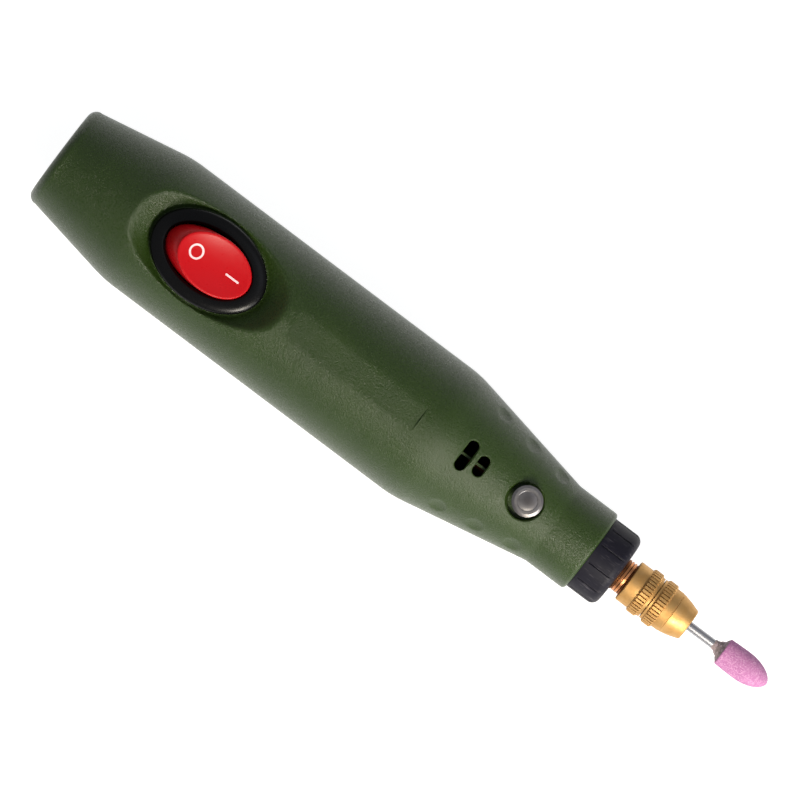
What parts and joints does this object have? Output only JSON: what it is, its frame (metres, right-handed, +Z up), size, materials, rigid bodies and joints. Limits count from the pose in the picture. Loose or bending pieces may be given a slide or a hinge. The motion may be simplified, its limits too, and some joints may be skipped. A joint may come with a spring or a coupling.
{
  "type": "electric engraving pen",
  "caption": "Slim 12 V hand engraver with an oval rocker switch, a spindle lock button, a brass keyless chuck and a mounted bullet stone.",
  "frame": {"origin": "bottom centre of the bounding box, on the surface that the belly flat lies on", "axes": "+X along the pen towards the stone, +Z up out of the switch"},
  "size_m": [0.206, 0.035, 0.0366],
  "materials": {
    "green_plastic": "satin moulded",
    "black_plastic": "semi-gloss",
    "cap_plastic": "satin",
    "red_plastic": "semi-gloss",
    "pale_plastic": "satin",
    "steel": "turned",
    "zinc_plate": "zinc plated",
    "brass": "turned",
    "copper": "bright copper",
    "spindle_bronze": "turned, copper coloured",
    "dark_iron": "laminated or blackened",
    "ferrite": "matte",
    "bronze": "sintered",
    "cement": "rough",
    "pink_oxide": "abrasive grain",
    "red_wire": "satin insulation",
    "black_wire": "satin insulation"
  },
  "bodies": {
    "housing": {"upper_shell": "green_plastic", "lower_shell": "green_plastic", "case_screw_1": "zinc_plate", "case_screw_2": "zinc_plate", "case_screw_3": "zinc_plate", "case_screw_4": "zinc_plate", "nose_cap": "cap_plastic", "switch_housing": "black_plastic", "switch_terminal_1": "brass", "switch_terminal_2": "brass", "dc_inlet": "black_plastic", "inlet_pin": "zinc_plate", "inlet_leaf": "zinc_plate", "motor_can": "zinc_plate", "motor_end_cap": "black_plastic", "motor_magnet_1": "ferrite", "motor_magnet_2": "ferrite", "motor_bush_rear": "bronze", "motor_bush_front": "bronze", "motor_terminal_1": "copper", "motor_terminal_2": "copper", "front_bearing_outer": "steel", "rear_bearing_outer": "steel", "wire_inlet_switch": "red_wire", "wire_switch_motor": "red_wire", "wire_inlet_motor": "black_wire"},
    "rocker": {"rocker": "red_plastic", "switch_plunger": "pale_plastic"},
    "contact_bridge": {"contact_bridge": "copper"},
    "lock_button": {"lock_button": "steel", "lock_clip": "steel", "lock_spring": "steel"},
    "rotor": {"motor_shaft": "steel", "armature_core": "dark_iron", "coil_1": "copper", "coil_2": "copper", "coil_3": "copper", "commutator": "copper", "coupling": "brass", "grub_screw_1": "dark_iron", "grub_screw_2": "dark_iron", "spindle": "spindle_bronze", "front_bearing_inner": "steel", "rear_bearing_inner": "steel", "chuck_body": "brass"},
    "front_cage": {"front_bearing_balls": "steel"},
    "rear_cage": {"rear_bearing_balls": "steel"},
    "sleeve": {"chuck_sleeve": "brass"},
    "jaw_1": {"chuck_jaw_1": "steel"},
    "jaw_2": {"chuck_jaw_2": "steel"},
    "jaw_3": {"chuck_jaw_3": "steel"},
    "bit": {"bit_shank": "steel", "stone_bond": "cement", "grinding_stone": "pink_oxide"}
  },
  "joints": [
    {"name": "rocker_tilt", "type": "hinge", "parent": "housing", "child": "rocker", "pos_m": [-0.0601, 0, 0.02769], "axis": [0, -1, 0], "range_deg": [0, 29.9]},
    {"name": "contact_bridge_tilt", "type": "hinge", "parent": "housing", "child": "contact_bridge", "pos_m": [-0.0601, 0, 0.02199], "axis": [0, -1, 0], "range_deg": [-12.1, 0]},
    {"name": "lock_button_press", "type": "slide", "parent": "housing", "child": "lock_button", "axis": [0, 0, -1], "range_m": [0, 0.0022], "stiffness_N_per_m": 600, "springref_m": -0.0012, "deforming": ["lock_spring"]},
    {"name": "spindle_spin", "type": "hinge", "parent": "housing", "child": "rotor", "pos_m": [0.0629, 0, 0.01644], "axis": [1, 0, 0], "continuous": true},
    {"name": "front_cage_spin", "type": "hinge", "parent": "housing", "child": "front_cage", "pos_m": [0.0466, 0, 0.01644], "axis": [1, 0, 0], "continuous": true},
    {"name": "rear_cage_spin", "type": "hinge", "parent": "housing", "child": "rear_cage", "pos_m": [0.025, 0, 0.01644], "axis": [1, 0, 0], "continuous": true},
    {"name": "chuck_sleeve_turn", "type": "hinge", "parent": "rotor", "child": "sleeve", "pos_m": [0.075, 0, 0.01644], "axis": [1, 0, 0], "range_deg": [0, 360]},
    {"name": "jaw_1_slide", "type": "slide", "parent": "rotor", "child": "jaw_1", "axis": [-0.9877, 0, 0.1564], "range_m": [0, 0.0018]},
    {"name": "jaw_2_slide", "type": "slide", "parent": "rotor", "child": "jaw_2", "axis": [-0.9877, -0.1355, -0.0782], "range_m": [0, 0.0018]},
    {"name": "jaw_3_slide", "type": "slide", "parent": "rotor", "child": "jaw_3", "axis": [-0.9877, 0.1355, -0.0782], "range_m": [0, 0.0018]},
    {"name": "bit_slide", "type": "slide", "parent": "rotor", "child": "bit", "axis": [1, 0, 0], "range_m": [0, 0.019]}
  ],
  "couplings": [
    {"joint": "contact_bridge_tilt", "follows": "rocker_tilt", "ratio": -0.4},
    {"joint": "front_cage_spin", "follows": "spindle_spin", "ratio": 0.4461},
    {"joint": "rear_cage_spin", "follows": "spindle_spin", "ratio": 0.4285},
    {"joint": "jaw_1_slide", "follows": "chuck_sleeve_turn", "m_per_rad": 0.000286},
    {"joint": "jaw_2_slide", "follows": "chuck_sleeve_turn", "m_per_rad": 0.000286},
    {"joint": "jaw_3_slide", "follows": "chuck_sleeve_turn", "m_per_rad": 0.000286}
  ]
}
